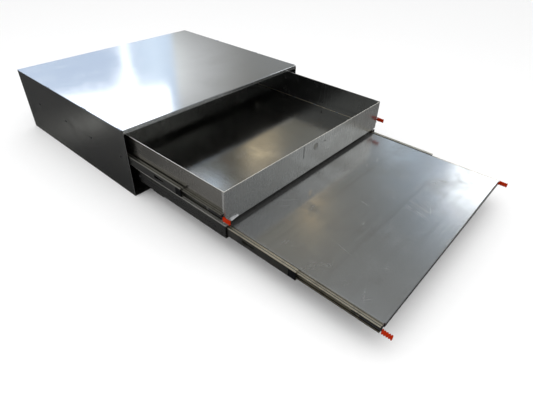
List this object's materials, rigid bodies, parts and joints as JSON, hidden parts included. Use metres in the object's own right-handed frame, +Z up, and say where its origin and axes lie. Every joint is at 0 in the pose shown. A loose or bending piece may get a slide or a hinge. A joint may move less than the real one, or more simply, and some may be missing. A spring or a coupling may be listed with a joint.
{
  "type": "sheet-steel storage drawer with slide-out table",
  "caption": "Low sheet-steel housing with an open-topped drawer and, under it, a slide-out table, each on locking ball-bearing slides with lever releases.",
  "frame": {"origin": "centre of the housing's flat underside, at the level it stands on", "axes": "+Z up; the drawer and the table open towards -Y; +X is on the right-hand side of someone who faces the drawer front"},
  "size_m": [0.905, 1.7786, 0.26],
  "materials": {
    "mill_sheet": "bare mill-finish sheet, light grain, semi-bright",
    "zinc_steel": "zinc-plated rolled steel, satin",
    "dark_steel": "black oxide",
    "black_screw": "black oxide socket screws",
    "ball_steel": "polished bearing balls",
    "cage_brass": "yellow-passivated strip",
    "black_plastic": "moulded, fine grain",
    "orange_plastic": "dipped soft plastic"
  },
  "bodies": {
    "cabinet": {"cabinet_top": "mill_sheet", "cabinet_left_side": "mill_sheet", "cabinet_right_side": "mill_sheet", "cabinet_bottom": "mill_sheet", "cabinet_back": "mill_sheet", "back_rivets": "zinc_steel", "drawer_slide_outer_left": "zinc_steel", "drawer_slide_outer_right": "zinc_steel", "housing_slide_screws": "black_screw"},
    "drawer": {"tray_floor": "mill_sheet", "tray_front": "mill_sheet", "tray_left_wall": "mill_sheet", "tray_right_wall": "mill_sheet", "tray_back": "mill_sheet", "tray_slide_screws": "black_screw", "carriage_left": "mill_sheet", "carriage_right": "mill_sheet", "carriage_back": "mill_sheet", "carriage_front_bearer": "mill_sheet", "carriage_rear_bearer": "mill_sheet", "carriage_bottom_straps": "mill_sheet", "drawer_slide_inner_left": "zinc_steel", "drawer_slide_inner_right": "zinc_steel", "table_slide_outer_left": "zinc_steel", "table_slide_outer_right": "zinc_steel", "carriage_slide_screws": "black_screw", "drawer_lever_pivots": "zinc_steel"},
    "drawer_middle": {"drawer_slide_middle_left": "zinc_steel", "drawer_slide_middle_right": "zinc_steel", "drawer_slide_end_blocks": "black_plastic"},
    "drawer_outer_cages": {"drawer_outer_cage_left": "cage_brass", "drawer_outer_cage_right": "cage_brass", "drawer_outer_balls": "ball_steel"},
    "drawer_inner_cages": {"drawer_inner_cage_left": "cage_brass", "drawer_inner_cage_right": "cage_brass", "drawer_inner_balls": "ball_steel"},
    "table": {"table_top": "mill_sheet", "table_front_stiffener": "mill_sheet", "table_rear_stiffener": "mill_sheet", "table_slide_screws": "black_screw", "table_slide_inner_left": "zinc_steel", "table_slide_inner_right": "zinc_steel", "table_lever_pivots": "zinc_steel"},
    "table_middle": {"table_slide_middle_left": "zinc_steel", "table_slide_middle_right": "zinc_steel", "table_slide_end_blocks": "black_plastic"},
    "table_outer_cages": {"table_outer_cage_left": "cage_brass", "table_outer_cage_right": "cage_brass", "table_outer_balls": "ball_steel"},
    "table_inner_cages": {"table_inner_cage_left": "cage_brass", "table_inner_cage_right": "cage_brass", "table_inner_balls": "ball_steel"},
    "drawer_lever_l": {"drawer_lever_left": "dark_steel", "drawer_lever_grip_left": "orange_plastic"},
    "drawer_lever_r": {"drawer_lever_right": "dark_steel", "drawer_lever_grip_right": "orange_plastic"},
    "table_lever_l": {"table_lever_left": "dark_steel", "table_lever_grip_left": "orange_plastic"},
    "table_lever_r": {"table_lever_right": "dark_steel", "table_lever_grip_right": "orange_plastic"}
  },
  "joints": [
    {"name": "drawer_slide", "type": "slide", "parent": "cabinet", "child": "drawer", "axis": [0, -1, 0], "range_m": [-0.45, 0.25]},
    {"name": "drawer_middle_slide", "type": "slide", "parent": "cabinet", "child": "drawer_middle", "axis": [0, -1, 0], "range_m": [-0.281, 0.157]},
    {"name": "drawer_outer_cage_slide", "type": "slide", "parent": "cabinet", "child": "drawer_outer_cages", "axis": [0, -1, 0], "range_m": [-0.1415, 0.0795]},
    {"name": "drawer_inner_cage_slide", "type": "slide", "parent": "cabinet", "child": "drawer_inner_cages", "axis": [0, -1, 0], "range_m": [-0.3665, 0.2045]},
    {"name": "table_slide", "type": "slide", "parent": "drawer", "child": "table", "axis": [0, -1, 0], "range_m": [-0.51, 0.19]},
    {"name": "table_middle_slide", "type": "slide", "parent": "drawer", "child": "table_middle", "axis": [0, -1, 0], "range_m": [-0.2672, 0.1008]},
    {"name": "table_outer_cage_slide", "type": "slide", "parent": "drawer", "child": "table_outer_cages", "axis": [0, -1, 0], "range_m": [-0.1346, 0.0514]},
    {"name": "table_inner_cage_slide", "type": "slide", "parent": "drawer", "child": "table_inner_cages", "axis": [0, -1, 0], "range_m": [-0.3896, 0.1464]},
    {"name": "drawer_lever_left_press", "type": "hinge", "parent": "drawer", "child": "drawer_lever_l", "pos_m": [-0.434, -0.779, 0.144], "axis": [-1, 0, 0], "range_deg": [0, 7], "stiffness_Nm_per_rad": 0.4},
    {"name": "drawer_lever_right_press", "type": "hinge", "parent": "drawer", "child": "drawer_lever_r", "pos_m": [0.434, -0.779, 0.148], "axis": [1, 0, 0], "range_deg": [0, 7], "stiffness_Nm_per_rad": 0.4},
    {"name": "table_lever_left_press", "type": "hinge", "parent": "table", "child": "table_lever_l", "pos_m": [-0.412, -1.289, 0.0824], "axis": [-1, 0, 0], "range_deg": [0, 7], "stiffness_Nm_per_rad": 0.4},
    {"name": "table_lever_right_press", "type": "hinge", "parent": "table", "child": "table_lever_r", "pos_m": [0.412, -1.289, 0.0864], "axis": [1, 0, 0], "range_deg": [0, 7], "stiffness_Nm_per_rad": 0.4}
  ],
  "couplings": [
    {"joint": "drawer_middle_slide", "follows": "drawer_slide", "ratio": 0.62},
    {"joint": "drawer_outer_cage_slide", "follows": "drawer_slide", "ratio": 0.31},
    {"joint": "drawer_inner_cage_slide", "follows": "drawer_slide", "ratio": 0.81},
    {"joint": "table_middle_slide", "follows": "table_slide", "ratio": 0.52},
    {"joint": "table_outer_cage_slide", "follows": "table_slide", "ratio": 0.26},
    {"joint": "table_inner_cage_slide", "follows": "table_slide", "ratio": 0.76}
  ]
}
